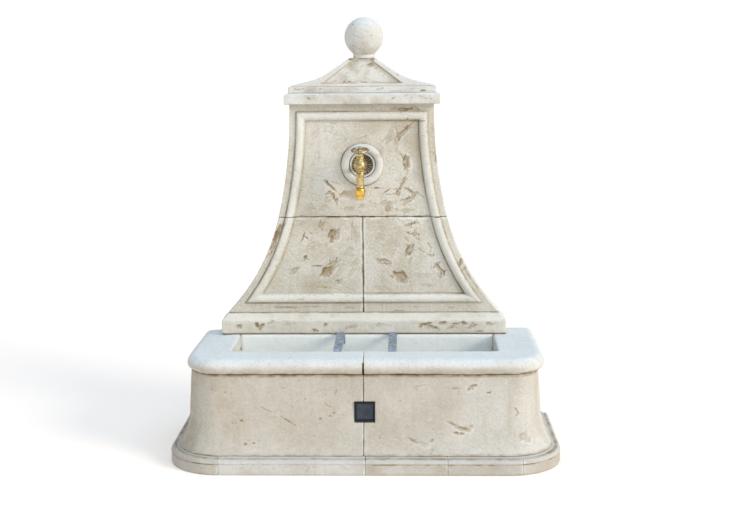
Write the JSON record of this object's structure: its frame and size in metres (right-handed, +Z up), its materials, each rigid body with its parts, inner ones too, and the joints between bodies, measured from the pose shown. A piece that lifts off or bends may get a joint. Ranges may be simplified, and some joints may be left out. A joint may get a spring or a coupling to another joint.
{
  "type": "wall fountain",
  "caption": "Cast stone wall fountain: moulded plinth, trough basin, tall curved backboard with framed field, cornice, gable and ball, and a brass tap with a turning handwheel.",
  "frame": {"origin": "on the ground, in the middle of the bounding box: on the fountain's centre line, half way between the plinth's front and the wall", "axes": "+X to the right seen from the front, +Y towards the wall, +Z up; the front faces -Y"},
  "size_m": [1.4, 0.556, 1.567],
  "materials": {
    "cast_stone": "warm beige cast limestone, chiselled and ochre washed",
    "weathered_stone": "pale weathered cast limestone",
    "plinth_stone": "grey beige cast limestone, moulded",
    "grey_steel": "dull blue grey steel with a mill skin",
    "blued_steel": "dark blue black painted steel",
    "aged_bronze": "dark brown patina with worn green edges",
    "aged_brass": "antiqued brass, satin",
    "polished_brass": "bright polished brass"
  },
  "bodies": {
    "fountain": {"plinth_corner_left": "plinth_stone", "plinth_front_left": "plinth_stone", "plinth_front_middle": "plinth_stone", "plinth_front_right": "plinth_stone", "plinth_corner_right": "plinth_stone", "basin_left": "cast_stone", "basin_right": "cast_stone", "basin_floor": "cast_stone", "basin_back_wall": "cast_stone", "rim_left": "weathered_stone", "rim_right": "weathered_stone", "overflow_frame": "blued_steel", "overflow_plate": "blued_steel", "bucket_bar_left": "grey_steel", "bucket_bar_right": "grey_steel", "bar_lug_left": "grey_steel", "bar_lug_right": "grey_steel", "backboard_base": "cast_stone", "lower_panel_left": "cast_stone", "lower_panel_right": "cast_stone", "upper_panel": "cast_stone", "cornice_lower": "weathered_stone", "cornice_upper": "weathered_stone", "gable": "weathered_stone", "finial_neck": "weathered_stone", "finial_ball": "weathered_stone", "escutcheon_ring": "weathered_stone", "escutcheon_boss": "weathered_stone", "tap_rosette": "aged_bronze", "tap_shank": "aged_brass", "tap_backnut": "aged_brass", "tap_body": "aged_brass", "tap_collar": "aged_brass", "tap_spout": "aged_brass", "tap_nozzle": "polished_brass", "tap_bonnet": "aged_brass", "tap_gland": "aged_brass"},
    "handwheel": {"tap_stem": "aged_brass", "tap_handwheel": "aged_bronze", "tap_wheel_nut": "aged_bronze"}
  },
  "joints": [
    {"name": "tap_turn", "type": "hinge", "parent": "fountain", "child": "handwheel", "pos_m": [-0.015, 0.09437, 1.09278], "axis": [0, -0.2078, 0.9782], "range_deg": [0, 540]}
  ]
}
